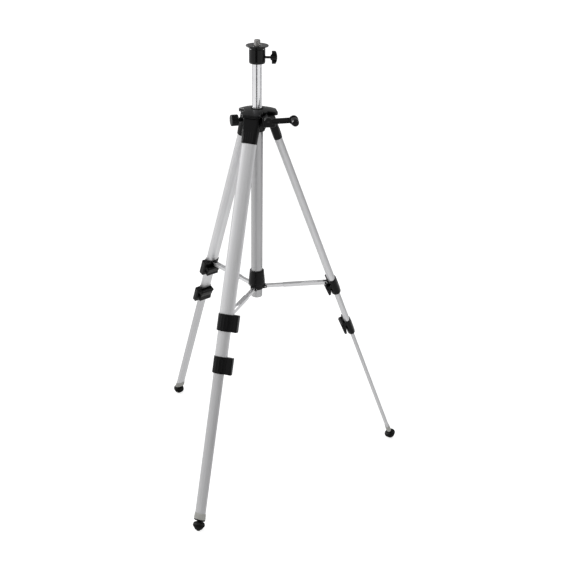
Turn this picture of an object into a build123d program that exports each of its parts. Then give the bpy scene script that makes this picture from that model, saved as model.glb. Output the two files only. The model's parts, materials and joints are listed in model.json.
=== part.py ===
from build123d import *
import os
from math import atan2, cos, degrees, pi, radians, sin

# Elevating tripod for a construction laser. Millimetres, +Z up.
# The origin is the centre of the instrument plate's top face, on the column's axis.
# The front leg runs out along -Y; azimuths turn from -Y towards +X.

# Reach of a cutting shape that passes right through a piece
THROUGH = 30

# Legs: three oval telescopic sections, splayed from a common apex on the column's axis
LEG_AZIMUTHS = {"front": 0, "left": -120, "right": 120}
LEG_ANGLE = 20.58
APEX_Z = -92.8
PIVOT_ALONG = 103.8
UPPER_TUBE = (39.5, 20.5)
MID_TUBE = (34.6, 16.0)
LOWER_TUBE = (29.0, 10.8)
UPPER_WALL = 1.5
MID_WALL = 1.3
LOWER_WALL = 1.2
UPPER_TUBE_TOP = 150
UPPER_LOCK_TOP = 577
LOWER_LOCK_TOP = {"front": 686, "left": 681, "right": 712}
LOCK_LENGTH = 44
TUBE_SEAT = 26
MID_TUBE_LENGTH = 470
LOWER_TUBE_TOP = 630
CAP_TOP = 1096
CAP_LENGTH = 20

# Section locks and their flip levers
UPPER_LOCK = (43, 26)
LOWER_LOCK = (37.4, 20.4)
LOCK_EDGE = 1.2
CLAMP_CORNER = 3
CLAMP_START = 6
CLAMP_END = 33.3
CLAMP_OUTER = 4
SLIDE_GAP = 0.6
UPPER_LEVER_DROP = 19
UPPER_LEVER_LENGTH = 23
LOWER_LEVER_DROP = 7.5
LOWER_LEVER_LENGTH = 31
LEVER_SHIFT = 5
LEVER_REACH = 6.1
LEVER_KNUCKLE = 5.6
LEVER_HALF_WIDTH = 18.3
LEVER_THICKNESS = 8
LEVER_BACK_GAP = 0.4
LEVER_SHOULDER = (8, 2.4)
LEVER_WAIST = (15, 0.6)
LEVER_LIP = (2, 1.6)
LEVER_FINGER_GAP = 3.5
LEVER_HEEL = 14
EAR_START = 18.7
EAR_END = 22.3
EAR_NOSE = 4.4
TRUNNION_RADIUS = 1.8
TRUNNION_END = 22
RUNNING_GAP = 0.06

# Leg brackets, forked over the hub's lugs
BRACKET_TOP = (47, 21)
BRACKET_BOTTOM = (40.6, 21.4)
BRACKET_TOP_CORNER = 8
BRACKET_BOTTOM_CORNER = 10
BRACKET_TOP_SHIFT = -1.5
BRACKET_END = 150
FORK_BACK = -9.3
PLUG_CLEARANCE = 0.15
BRACKET_TOP_RADIUS = 18.5
FORK_GAP = 31.4
FORK_FLOOR = 12
PLUG_END = 172
PIVOT_PIN_RADIUS = 4

# Hub, cap and bush
SEAM_Z = -167
CAP_TOP_Z = -156
HUB_PLATE = 3.2
HUB_RADIUS = 26
HUB_BOTTOM_Z = -214
HUB_SHOULDER_Z = -196
HUB_BOTTOM_RADIUS = 19.5
LOCK_BOSS_RADIUS = 6.2
HOUSING_SIDES = (-12, 22)
HOUSING_BOTTOM = -20
HOUSING_LENGTH = (18, 55)
HOUSING_CORNER = 6
HOUSING_EDGE = 2.5
LEG_ROOM = (24.8, 17)
LOBE_REACH = 50
LOBE_WIDTH = 48
LOBE_CORNER = 9
LOBE_VALLEY_RADIUS = 33
LUG_WIDTH = 30.6
LUG_ROUND = 8.8
LUG_ROOT = -18
LUG_FACE = 3.5
LUG_FACE_HEIGHT = 12
CAP_HOLLOW_RADIUS = 28
CAP_HOLLOW_DEPTH = 5
DOME_RADIUS = 177

# Column, guide tube and rack drive
COLUMN_RADIUS = 12
COLUMN_WALL = 1.5
COLUMN_TOP_Z = -12
COLUMN_BOTTOM_Z = -430
BUSH_RADIUS = 15
GUIDE_RADIUS = 15
GUIDE_WALL = 1.3
GUIDE_TOP_Z = -202
GUIDE_BOTTOM_Z = -660
GUIDE_END_LENGTH = 13
GUIDE_END_ROUND = 3
PLUG_INSERT = 12
GEAR_MODULE = 1.25
PINION_TEETH = 10
PINION_WIDTH = 6.4
PINION_ROOM = 2.2
RACK_TEETH = 70
RACK_TEETH_ABOVE = 29
RACK_TOP_Z = -54
RACK_TIP = 11.9
RACK_WIDTH = 7
TOOTH_ADDENDUM = 1.0
TOOTH_DEDENDUM = 1.3
TOOTH_BACKLASH = 0.45
RACK_FLANK_SLOPE = 0.36
PINION_ROOT_SLOPE = 0.2
PINION_TIP_SLOPE = 0.5
RACK_BACK = 7.5

# Crank
CRANK_AZIMUTH = 30
CRANK_Z = -171.5
CRANK_SHAFT_RADIUS = 4
CRANK_NOSE_RADIUS = 7.6
CRANK_NOSE_END = 62
CRANK_ARM_BACK = 66
CRANK_ARM_THICKNESS = 6.5
CRANK_ARM_LENGTH = 63
CRANK_REST_ANGLE = 1.5
CRANK_WEB_WIDTH = 13.4
CRANK_BOSS_RADIUS = 10.5
GRIP_BOSS_RADIUS = 11.8
SPINDLE_RADIUS = 3
GRIP_LENGTH = 28
GRIP_COLLAR_RADIUS = 10.4
GRIP_RADIUS = 9.4
GRIP_END_RADIUS = 7.4

# Column lock
LOCK_AZIMUTH = -52
LOCK_Z = -183
LOCK_SCREW_RADIUS = 4
LOCK_KNOB_RADIUS = 14.2
LOCK_KNOB_START = 50
LOCK_KNOB_LENGTH = 17.5
LOCK_KNOB_GROOVES = 12
LOCK_GROOVE_RADIUS = 2
LOCK_SCREW_START = 15.2
SHOE_LENGTH = 5.9

# Head
PLATE_RADIUS = 28
PLATE_THICKNESS = 3
RECESS_RADIUS = 11
RECESS_DEPTH = 1
PLATE_EDGE = 1.2
STUD_SHANK_RADIUS = 5
STUD_SHANK_END = -8
STUD_RADIUS = 7.9375
STUD_TOP_Z = 13
CUP_RADIUS = 20
CUP_BOTTOM_Z = -44
CUP_EDGE = 3
HEAD_KNOB_AZIMUTH = 110
HEAD_KNOB_Z = -29.5
HEAD_SCREW_RADIUS = 3
HEAD_KNOB_START = 32
HEAD_KNOB_LENGTH = 17
HEAD_KNOB_HEIGHT = 32
HEAD_KNOB_WIDTH = 12
HEAD_KNOB_BOSS_RADIUS = 7

# Spreader: collar on the guide tube and three horizontal braces
BRACE_Z = -644.5
COLLAR_TOP_Z = -595.6
COLLAR_STEP_Z = -635.3
COLLAR_BOTTOM_Z = -649.5
COLLAR_TOP_RADIUS = 19
COLLAR_RADIUS = 21.8
COLLAR_RING_RADIUS = 17.4
COLLAR_EAR_RADIUS = 4.6
COLLAR_EAR_EDGE = 8.2
COLLAR_LIP = 8
TONGUE_ROOM = 5.2
INNER_PIVOT_RADIUS = 22
OUTER_PIVOT_RADIUS = 187
BRACE_HALF_WIDTH = 6.5
BRACE_HEIGHT = 9
CHEEK_THICKNESS = 1.3
CHANNEL_LENGTH = 115
WEB_START = 165
WEB_END = 181
TONGUE_WIDTH = 9.8
TONGUE_HEIGHT = 8.6
TONGUE_END = 122
EAR_RADIUS = 4.6
RIVET_RADIUS = 2

# End caps and feet
CAP_WALL = 1.7
CAP_EDGE = 1.2
CAP_FLOOR = 4
NECK_RADIUS = 7
FOOT_STUD_RADIUS = 4
FOOT_TOP = 1119.5
FOOT_RIM = 1127
FOOT_RIM_RADIUS = 15.6
FOOT_TIP_RADIUS = 7
FOOT_CROWN_RADIUS = 10.5
FOOT_SHOULDER = (14.4, 2.4)

GEAR_PITCH = pi * GEAR_MODULE
PINION_RADIUS = GEAR_MODULE * PINION_TEETH / 2
CRANK_OFFSET = RACK_TIP - TOOTH_ADDENDUM + PINION_RADIUS
FLOOR_Z = APEX_Z - 1143.7 * cos(radians(LEG_ANGLE))


def save(shape, node):
    """Write one node to its STEP file."""
    export_step(shape, os.path.join("parts", node + ".step"))


def direction(azimuth):
    """Horizontal unit vector at an azimuth."""
    turn = radians(azimuth)
    return Vector(sin(turn), -cos(turn), 0)


def radial(azimuth, z):
    """Frame on the column's axis whose Z points outward at an azimuth and whose Y points up."""
    out = direction(azimuth)
    return Plane(origin=(0, 0, z), x_dir=Vector(-out.Y, out.X, 0), z_dir=out).location


def at_azimuth(azimuth):
    """Frame turned about the column: local -Y is outward."""
    return Rot(0, 0, azimuth)


def at_leg(azimuth):
    """Leg frame: local -Z runs down the leg from the apex, local -Y faces outward."""
    return Pos(0, 0, APEX_Z) * Rot(0, 0, azimuth) * Rot(-LEG_ANGLE, 0, 0)


def rod(radius, low, high):
    """Cylinder along Z between two heights."""
    return Pos(0, 0, low) * extrude(Circle(radius), high - low)


def cross_pin(radius, half_length, y, z):
    """Cylinder along X, centred on the plane x = 0."""
    return Pos(0, y, z) * Rot(0, 90, 0) * Cylinder(radius, 2 * half_length)


def block(x_range, y_range, z_range):
    """Box between two corners."""
    low = Vector(min(x_range), min(y_range), min(z_range))
    high = Vector(max(x_range), max(y_range), max(z_range))
    size = high - low
    return Pos(*((low + high) / 2)) * Box(size.X, size.Y, size.Z)


def side_prism(points, half_width):
    """Outline in the YZ plane, extruded both ways along X."""
    face = Plane.YZ * make_face(Polyline(*points, close=True))
    return extrude(face, half_width, both=True)


def turned(points):
    """Solid of revolution about Z from an outline of radius and height."""
    face = Plane.XZ * make_face(Polyline(*points, close=True))
    return revolve(face, Axis.Z)


def oval_bar(size, start, end, growth=0.0):
    """Oval bar in the leg frame between two distances from the apex."""
    section = Ellipse(size[0] / 2 + growth, size[1] / 2 + growth)
    return Pos(0, 0, -end) * extrude(section, end - start)


def oval_tube(size, wall, start, end):
    """Hollow oval tube in the leg frame."""
    return oval_bar(size, start, end) - oval_bar(size, start - 1, end + 1, -wall)


# ---------------------------------------------------------------- legs


def leg_bracket():
    """Fork over the hub's lug, with a plug that fills the end of the upper tube."""
    crown_z = -PIVOT_ALONG + BRACKET_TOP_RADIUS
    top = Pos(0, BRACKET_TOP_SHIFT, crown_z) * RectangleRounded(*BRACKET_TOP, BRACKET_TOP_CORNER)
    bottom = Pos(0, 0, -BRACKET_END) * RectangleRounded(*BRACKET_BOTTOM, BRACKET_BOTTOM_CORNER)
    shell = loft([bottom, top])
    crown = cross_pin(BRACKET_TOP_RADIUS, THROUGH, 0, -PIVOT_ALONG)
    skirt = block((-THROUGH, THROUGH), (-THROUGH, THROUGH), (-BRACKET_END, -PIVOT_ALONG))
    shell = shell & (crown + skirt)
    slot_floor = -PIVOT_ALONG - FORK_FLOOR
    slot = block((-FORK_GAP / 2, FORK_GAP / 2), (FORK_BACK, THROUGH), (slot_floor, -PIVOT_ALONG + THROUGH))
    plug = oval_bar(UPPER_TUBE, BRACKET_END - 2, PLUG_END, -UPPER_WALL - PLUG_CLEARANCE)
    hole = cross_pin(PIVOT_PIN_RADIUS + RUNNING_GAP, THROUGH, 0, -PIVOT_ALONG)
    return shell - slot - hole + plug


def pin_ears(pin_y, pin_z, base_y, radius, inner, outer, hole_radius):
    """Two ears on either side of the plane x = 0, holding a cross pin."""
    ears = Part()
    for side in (-1, 1):
        plate = block((side * inner, side * outer), (base_y, pin_y), (pin_z - radius, pin_z + radius))
        middle = (inner + outer) / 2 * side
        nose = Pos(middle, pin_y, pin_z) * Rot(0, 90, 0) * Cylinder(radius, outer - inner)
        ears += plate + nose
    return ears - cross_pin(hole_radius, THROUGH, pin_y, pin_z)


def section_lock(top, size, tube_above, tube_below, lever_drop):
    """Collar clamped on the end of one tube, in which the next tube slides."""
    bottom = -top - LOCK_LENGTH
    collar = soft_ends(oval_bar(size, top, top + LOCK_LENGTH), -top, bottom)
    middle = ((CLAMP_START + CLAMP_END) / 2, (size[1] / 2 - CLAMP_OUTER) / 2)
    outline = Pos(*middle) * RectangleRounded(CLAMP_END - CLAMP_START, size[1] / 2 + CLAMP_OUTER, CLAMP_CORNER)
    clamp_block = soft_ends(Pos(0, 0, bottom) * extrude(outline, LOCK_LENGTH), -top, bottom)
    body = collar + clamp_block
    seat = oval_bar(tube_above, top - 1, top + TUBE_SEAT)
    bore = oval_bar(tube_below, top + TUBE_SEAT - 1, top + LOCK_LENGTH + 1, SLIDE_GAP / 2)
    pin_y = size[1] / 2 + LEVER_REACH
    pin_z = -top - lever_drop
    ears = pin_ears(pin_y, pin_z, size[1] / 2 - 5, EAR_NOSE, EAR_START, EAR_END, TRUNNION_RADIUS + RUNNING_GAP)
    return body + Pos(LEVER_SHIFT, 0, 0) * ears - seat - bore


def soft_ends(body, top_z, bottom_z):
    """Round over a bar's two end edges."""
    ends = body.edges().filter_by_position(Axis.Z, top_z, top_z)
    ends += body.edges().filter_by_position(Axis.Z, bottom_z, bottom_z)
    return fillet(ends, LOCK_EDGE)


def brace_ear():
    """Ear on the upper lock's inner side with the rivet that the brace turns on, in the leg frame."""
    along, y = brace_pivot_in_leg()
    plate = block((-4.4, 4.4), (UPPER_LOCK[1] / 2 - 2, y), (-along - EAR_RADIUS, -along + EAR_RADIUS))
    nose = cross_pin(EAR_RADIUS, 4.4, y, -along)
    rivet = cross_pin(RIVET_RADIUS, BRACE_HALF_WIDTH + 1.4, y, -along)
    heads = Part()
    for side in (-1, 1):
        centre = side * (BRACE_HALF_WIDTH + 1)
        heads += Pos(centre, y, -along) * Rot(0, 90, 0) * Cylinder(RIVET_RADIUS + 1.2, 1.2)
    return plate + nose + rivet + heads


def brace_pivot_in_leg():
    """Distance down the leg and inward offset of the brace's outer pivot."""
    drop = APEX_Z - BRACE_Z
    tilt = radians(LEG_ANGLE)
    along = OUTER_PIVOT_RADIUS * sin(tilt) + drop * cos(tilt)
    inward = drop * sin(tilt) - OUTER_PIVOT_RADIUS * cos(tilt)
    return along, inward


def flip_lever(top, size, drop, length):
    """Over-centre lever of a section lock: knuckle above, free end below."""
    pin_y = size[1] / 2 + LEVER_REACH
    pin_z = -top - drop
    inner = size[1] / 2 + LEVER_BACK_GAP
    outer = inner + LEVER_THICKNESS
    tip = pin_z - length
    outline = [
        (inner, pin_z),
        (pin_y + LEVER_KNUCKLE - 0.1, pin_z),
        (outer + LEVER_SHOULDER[1], pin_z - LEVER_SHOULDER[0]),
        (outer + LEVER_WAIST[1], pin_z - LEVER_WAIST[0]),
        (outer + LEVER_LIP[1], tip + LEVER_LIP[0]),
        (outer + LEVER_LIP[1] / 2, tip),
        (inner + LEVER_FINGER_GAP, tip),
        (inner, pin_z - LEVER_HEEL),
    ]
    handle = side_prism(outline, LEVER_HALF_WIDTH)
    knuckle = cross_pin(LEVER_KNUCKLE, LEVER_HALF_WIDTH, pin_y, pin_z)
    trunnions = cross_pin(TRUNNION_RADIUS, TRUNNION_END, pin_y, pin_z)
    return Pos(LEVER_SHIFT, 0, 0) * (handle + knuckle + trunnions)


def end_cap():
    """Closed cap on the lower tube with a neck and the stud that the foot turns on."""
    cap = oval_bar(LOWER_TUBE, CAP_TOP, CAP_TOP + CAP_LENGTH, CAP_WALL)
    base = -CAP_TOP - CAP_LENGTH
    cap = fillet(cap.edges().filter_by_position(Axis.Z, base, base), CAP_EDGE)
    socket = oval_bar(LOWER_TUBE, CAP_TOP - 1, CAP_TOP + CAP_LENGTH - CAP_FLOOR)
    neck = rod(NECK_RADIUS, -FOOT_TOP + 0.4, base + 1)
    stud = rod(FOOT_STUD_RADIUS, -FOOT_RIM - 3, -FOOT_TOP + 1)
    return cap - socket + neck + stud


def rubber_foot():
    """Mushroom foot: a domed shoulder, a rim, and a cone to a round tip on the floor."""
    tip_centre = (APEX_Z - FLOOR_Z - FOOT_TIP_RADIUS) / cos(radians(LEG_ANGLE))
    slope = degrees(atan2(FOOT_RIM_RADIUS - FOOT_TIP_RADIUS, tip_centre - FOOT_RIM))
    shoulder = turned(
        [
            (0, -FOOT_TOP),
            (FOOT_CROWN_RADIUS, -FOOT_TOP),
            (FOOT_SHOULDER[0], -FOOT_TOP - FOOT_SHOULDER[1]),
            (FOOT_RIM_RADIUS, -FOOT_RIM + 1.6),
            (FOOT_RIM_RADIUS, -FOOT_RIM - 1),
            (FOOT_TIP_RADIUS * cos(radians(90 - slope)) + 1.2, -tip_centre - 1),
            (0, -tip_centre - 1),
        ]
    )
    tip = Pos(0, 0, -tip_centre) * Sphere(FOOT_TIP_RADIUS)
    hole = rod(FOOT_STUD_RADIUS + RUNNING_GAP, -FOOT_RIM - 3.6, -FOOT_TOP + 1)
    return shoulder + tip - hole


def build_leg(side, azimuth):
    """Every piece of one leg, from its bracket to its foot."""
    place = at_leg(azimuth)
    lower_top = LOWER_LOCK_TOP[side]
    mid_end = lower_top + TUBE_SEAT
    upper_end = UPPER_LOCK_TOP + TUBE_SEAT
    upper_lock = section_lock(UPPER_LOCK_TOP, UPPER_LOCK, UPPER_TUBE, MID_TUBE, UPPER_LEVER_DROP)
    upper_lock = upper_lock + (brace_ear() - oval_bar(UPPER_TUBE, 500, 650))
    lower_lock = section_lock(lower_top, LOWER_LOCK, MID_TUBE, LOWER_TUBE, LOWER_LEVER_DROP)
    pieces = {
        "bracket": leg_bracket(),
        "upper_tube": oval_tube(UPPER_TUBE, UPPER_WALL, UPPER_TUBE_TOP, upper_end),
        "upper_lock": upper_lock,
        "upper_lever": flip_lever(UPPER_LOCK_TOP, UPPER_LOCK, UPPER_LEVER_DROP, UPPER_LEVER_LENGTH),
        "mid_tube": oval_tube(MID_TUBE, MID_WALL, mid_end - MID_TUBE_LENGTH, mid_end),
        "lower_lock": lower_lock,
        "lower_lever": flip_lever(lower_top, LOWER_LOCK, LOWER_LEVER_DROP, LOWER_LEVER_LENGTH),
        "lower_tube": oval_tube(LOWER_TUBE, LOWER_WALL, LOWER_TUBE_TOP, CAP_TOP + CAP_LENGTH - CAP_FLOOR),
        "end_cap": end_cap(),
        "rubber_foot": rubber_foot(),
    }
    for name, shape in pieces.items():
        save(place * shape, f"{side}_{name}")


# ---------------------------------------------------------------- spreader


def brace_channel():
    """Outer half of a brace: two cheeks riveted to the lock's ear, joined by a web near it."""
    start = OUTER_PIVOT_RADIUS - CHANNEL_LENGTH
    half = BRACE_HEIGHT / 2
    low, high = BRACE_Z - half, BRACE_Z + half
    body = block((-BRACE_HALF_WIDTH, BRACE_HALF_WIDTH), (-OUTER_PIVOT_RADIUS, -start), (low, high))
    body += cross_pin(half, BRACE_HALF_WIDTH, -OUTER_PIVOT_RADIUS, BRACE_Z)
    gap = BRACE_HALF_WIDTH - CHEEK_THICKNESS
    body -= block((-gap, gap), (-WEB_START, -start + 1), (low - 1, high + 1))
    body -= block((-gap, gap), (-OUTER_PIVOT_RADIUS - 20, -WEB_END), (low - 1, high + 1))
    return body - cross_pin(RIVET_RADIUS + RUNNING_GAP, 20, -OUTER_PIVOT_RADIUS, BRACE_Z)


def brace_tongue():
    """Inner half of a brace: a bar on the collar's pin that slides between the channel's cheeks."""
    half = TONGUE_HEIGHT / 2
    x_range = (-TONGUE_WIDTH / 2, TONGUE_WIDTH / 2)
    bar = block(x_range, (-TONGUE_END, -INNER_PIVOT_RADIUS), (BRACE_Z - half, BRACE_Z + half))
    bar += cross_pin(half, TONGUE_WIDTH / 2, -INNER_PIVOT_RADIUS, BRACE_Z)
    return bar - cross_pin(RIVET_RADIUS + RUNNING_GAP, 20, -INNER_PIVOT_RADIUS, BRACE_Z)


def spreader_collar():
    """Flared collar sliding on the guide tube, with a ring below it that carries the braces."""
    inner = TONGUE_WIDTH / 2 + 0.4
    outer = COLLAR_EAR_EDGE
    body = turned(
        [
            (0, COLLAR_TOP_Z),
            (COLLAR_TOP_RADIUS - 1, COLLAR_TOP_Z),
            (COLLAR_TOP_RADIUS, COLLAR_TOP_Z - 1),
            (COLLAR_RADIUS, COLLAR_STEP_Z + COLLAR_LIP),
            (COLLAR_RADIUS, COLLAR_STEP_Z + 1),
            (COLLAR_RADIUS - 1, COLLAR_STEP_Z),
            (COLLAR_RING_RADIUS, COLLAR_STEP_Z),
            (COLLAR_RING_RADIUS, COLLAR_BOTTOM_Z + 0.6),
            (COLLAR_RING_RADIUS - 0.6, COLLAR_BOTTOM_Z),
            (0, COLLAR_BOTTOM_Z),
        ]
    )
    for azimuth in LEG_AZIMUTHS.values():
        turn = at_azimuth(azimuth)
        ears = pin_ears(
            -INNER_PIVOT_RADIUS,
            BRACE_Z,
            -COLLAR_RING_RADIUS + 3,
            COLLAR_EAR_RADIUS,
            inner,
            outer,
            RIVET_RADIUS,
        )
        roof = block((-outer, outer), (-INNER_PIVOT_RADIUS, -10), (COLLAR_STEP_Z - 4, COLLAR_STEP_Z + 1))
        room = cross_pin(TONGUE_ROOM, inner, -INNER_PIVOT_RADIUS, BRACE_Z)
        slot_end = COLLAR_EAR_RADIUS - INNER_PIVOT_RADIUS
        slot = block((-inner, inner), (-THROUGH, slot_end), (COLLAR_BOTTOM_Z - 5, COLLAR_STEP_Z))
        body += turn * (ears + roof - room)
        body -= turn * (slot & room)
        body -= turn * cross_pin(RIVET_RADIUS, outer, -INNER_PIVOT_RADIUS, BRACE_Z)
    return body - rod(GUIDE_RADIUS + RUNNING_GAP, COLLAR_BOTTOM_Z - 1, COLLAR_TOP_Z + 1)


def build_spreader():
    """Collar, its three pins, and a channel and tongue for each brace."""
    save(spreader_collar(), "spreader_collar")
    pins = []
    for side, azimuth in LEG_AZIMUTHS.items():
        turn = at_azimuth(azimuth)
        pins.append(turn * cross_pin(RIVET_RADIUS, COLLAR_EAR_EDGE, -INNER_PIVOT_RADIUS, BRACE_Z))
        save(turn * brace_channel(), f"{side}_brace")
        save(turn * brace_tongue(), f"{side}_brace_tongue")
    save(Compound(children=pins), "brace_pins")


# ---------------------------------------------------------------- hub


def lobed_outline(reach, width, corner):
    """Three rounded lobes over the legs, with filled valleys between them."""
    outline = Circle(LOBE_VALLEY_RADIUS)
    for azimuth in LEG_AZIMUTHS.values():
        lobe = Pos(0, -reach / 2) * RectangleRounded(width, reach, corner)
        outline += Rot(0, 0, azimuth) * lobe
    return outline


def crank_frame():
    """Frame on the crank's axis: Z out along the shaft, X away from the column, Y up."""
    out = direction(CRANK_AZIMUTH)
    side = direction(CRANK_AZIMUTH + 90)
    origin = side * CRANK_OFFSET + Vector(0, 0, CRANK_Z)
    return Plane(origin=origin, x_dir=side, z_dir=out).location


def hub_lug():
    """Lug that a leg bracket turns on, facing -Y."""
    pivot_y, pivot_z = leg_pivot()
    half = LUG_WIDTH / 2
    lug = side_prism(
        [
            (LUG_ROOT, SEAM_Z - 1),
            (pivot_y, SEAM_Z - 1),
            (pivot_y - LUG_FACE, pivot_z + LUG_FACE_HEIGHT),
            (pivot_y - LUG_FACE, pivot_z),
            (pivot_y + LUG_ROUND, pivot_z - LUG_ROUND),
            (LUG_ROOT, pivot_z - LUG_ROUND),
        ],
        half,
    )
    lug += cross_pin(LUG_ROUND, half, pivot_y, pivot_z)
    return lug - cross_pin(PIVOT_PIN_RADIUS, THROUGH, pivot_y, pivot_z)


def leg_pivot():
    """Y and Z of the front leg's hinge."""
    tilt = radians(LEG_ANGLE)
    return -PIVOT_ALONG * sin(tilt), APEX_Z - PIVOT_ALONG * cos(tilt)


def hub_body():
    """Central boss with three lugs, the crank's housing and nose, and the lock screw's boss."""
    body = turned(
        [
            (0, SEAM_Z),
            (HUB_RADIUS, SEAM_Z),
            (HUB_RADIUS, HUB_SHOULDER_Z),
            (HUB_BOTTOM_RADIUS, HUB_BOTTOM_Z + 1),
            (HUB_BOTTOM_RADIUS - 1, HUB_BOTTOM_Z),
            (0, HUB_BOTTOM_Z),
        ]
    )
    plate = Pos(0, 0, SEAM_Z - HUB_PLATE) * extrude(lobed_outline(LOBE_REACH, LOBE_WIDTH, LOBE_CORNER), HUB_PLATE)
    body += plate
    for azimuth in LEG_AZIMUTHS.values():
        body += at_azimuth(azimuth) * hub_lug()
    body += gear_housing() + crank_frame() * rod(CRANK_NOSE_RADIUS, 8, CRANK_NOSE_END)
    body += radial(LOCK_AZIMUTH, LOCK_Z) * rod(LOCK_BOSS_RADIUS, 20, LOCK_KNOB_START - 4)
    body -= rod(BUSH_RADIUS, HUB_BOTTOM_Z - 1, SEAM_Z + 8)
    body -= pinion_room()
    body -= crank_frame() * rod(CRANK_SHAFT_RADIUS + RUNNING_GAP, -15, CRANK_NOSE_END + 1)
    return body - radial(LOCK_AZIMUTH, LOCK_Z) * rod(LOCK_SCREW_RADIUS + RUNNING_GAP, 12, 60)


def gear_housing():
    """Rounded box on the hub's side that carries the crank's shaft, clear of the legs beside it."""
    body = block(HOUSING_SIDES, (HOUSING_BOTTOM, SEAM_Z - CRANK_Z), HOUSING_LENGTH)
    body = fillet(body.edges().filter_by(Axis.Y), HOUSING_CORNER)
    body = fillet(body.faces().sort_by(Axis.Z)[-1].edges(), HOUSING_EDGE)
    body = crank_frame() * body
    half_width, start = LEG_ROOM
    room = block((-half_width, half_width), (-3 * THROUGH, -start), (2 * HUB_BOTTOM_Z, SEAM_Z - HUB_PLATE))
    for azimuth in LEG_AZIMUTHS.values():
        body -= at_azimuth(azimuth) * room
    return body


def pinion_room():
    """Round space the pinion turns in."""
    half = PINION_WIDTH / 2 + 1.5
    return crank_frame() * rod(PINION_RADIUS + PINION_ROOM, -half, half)


def hub_cap():
    """Domed cover over the lugs, hollow above the pinion."""
    outline = lobed_outline(LOBE_REACH, LOBE_WIDTH, LOBE_CORNER)
    blank = Pos(0, 0, SEAM_Z) * extrude(outline, CAP_TOP_Z - SEAM_Z)
    dome = Pos(0, 0, CAP_TOP_Z + 0.6 - DOME_RADIUS) * Sphere(DOME_RADIUS)
    cap = blank & dome
    cap -= rod(CAP_HOLLOW_RADIUS, SEAM_Z - 1, SEAM_Z + CAP_HOLLOW_DEPTH)
    cap -= rod(BUSH_RADIUS, SEAM_Z - 1, CAP_TOP_Z + 5)
    return cap - crank_frame() * rod(CRANK_NOSE_RADIUS + 0.4, -9, CRANK_NOSE_END)


def column_bush():
    """Plain bearing sleeve for the column, open where the pinion reaches the rack."""
    bush = rod(BUSH_RADIUS, GUIDE_TOP_Z + 1, CAP_TOP_Z + 0.8)
    bush -= rod(COLUMN_RADIUS + RUNNING_GAP, GUIDE_TOP_Z, CAP_TOP_Z + 2)
    bush -= pinion_room()
    bush -= crank_frame() * rod(CRANK_SHAFT_RADIUS + 0.5, -16, 16)
    return bush - radial(LOCK_AZIMUTH, LOCK_Z) * rod(LOCK_SCREW_RADIUS, 8, 20)


def guide_tube():
    """Fixed tube below the hub, round the column and through the spreader collar."""
    tube = rod(GUIDE_RADIUS, GUIDE_BOTTOM_Z, GUIDE_TOP_Z)
    return tube - rod(GUIDE_RADIUS - GUIDE_WALL, GUIDE_BOTTOM_Z - 1, GUIDE_TOP_Z + 1)


def guide_tube_end():
    """Rounded plug that closes the guide tube."""
    tip = GUIDE_BOTTOM_Z - GUIDE_END_LENGTH
    end = rod(GUIDE_RADIUS - 0.2, tip, GUIDE_BOTTOM_Z)
    end = fillet(end.edges().filter_by_position(Axis.Z, tip, tip), GUIDE_END_ROUND)
    return end + rod(GUIDE_RADIUS - GUIDE_WALL, GUIDE_BOTTOM_Z - 1, GUIDE_BOTTOM_Z + PLUG_INSERT)


def build_hub():
    """Hub, cap, bush, guide tube and pivot pins."""
    pivot_y, pivot_z = leg_pivot()
    pin = cross_pin(PIVOT_PIN_RADIUS, BRACKET_TOP[0] / 2 - 0.5, pivot_y, pivot_z)
    save(hub_body(), "hub_body")
    save(hub_cap(), "hub_cap")
    save(column_bush(), "column_bush")
    save(guide_tube(), "guide_tube")
    save(guide_tube_end(), "guide_tube_end")
    save(Compound(children=[at_azimuth(azimuth) * pin for azimuth in LEG_AZIMUTHS.values()]), "leg_pivot_pins")


# ---------------------------------------------------------------- column and crank


def toothed_rack():
    """Rack bar let into the column's wall, teeth facing the pinion along -Y."""
    root = RACK_TIP - TOOTH_ADDENDUM - TOOTH_DEDENDUM
    half_tip = (GEAR_PITCH / 2 - TOOTH_BACKLASH) / 2 - TOOTH_ADDENDUM * RACK_FLANK_SLOPE
    half_root = (GEAR_PITCH / 2 - TOOTH_BACKLASH) / 2 + TOOTH_DEDENDUM * RACK_FLANK_SLOPE
    points = [(-RACK_BACK, RACK_TOP_Z), (-root, RACK_TOP_Z)]
    for i in range(RACK_TEETH):
        centre = CRANK_Z + (RACK_TEETH_ABOVE - 0.5 - i) * GEAR_PITCH
        points.append((-root, centre + half_root))
        points.append((-RACK_TIP, centre + half_tip))
        points.append((-RACK_TIP, centre - half_tip))
        points.append((-root, centre - half_root))
    bottom = RACK_TOP_Z - RACK_TEETH * GEAR_PITCH - 6
    points += [(-root, bottom), (-RACK_BACK, bottom)]
    rack = side_prism(points, RACK_WIDTH / 2) & rod(RACK_TIP, bottom - 1, RACK_TOP_Z + 1)
    return rack, bottom


def build_column():
    """Column tube with its rack and end plug."""
    rack, rack_bottom = toothed_rack()
    turn = at_azimuth(CRANK_AZIMUTH + 90)
    tube = rod(COLUMN_RADIUS, COLUMN_BOTTOM_Z, COLUMN_TOP_Z)
    tube -= rod(COLUMN_RADIUS - COLUMN_WALL, COLUMN_BOTTOM_Z - 1, COLUMN_TOP_Z + 1)
    tube -= turn * block((-RACK_WIDTH / 2, RACK_WIDTH / 2), (-20, -5), (rack_bottom, RACK_TOP_Z))
    plug = rod(COLUMN_RADIUS - COLUMN_WALL, COLUMN_BOTTOM_Z, COLUMN_BOTTOM_Z + 14)
    plug += rod(COLUMN_RADIUS, COLUMN_BOTTOM_Z - 3, COLUMN_BOTTOM_Z)
    save(tube, "column_tube")
    save(turn * rack, "column_rack")
    save(plug, "column_end_plug")


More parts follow.
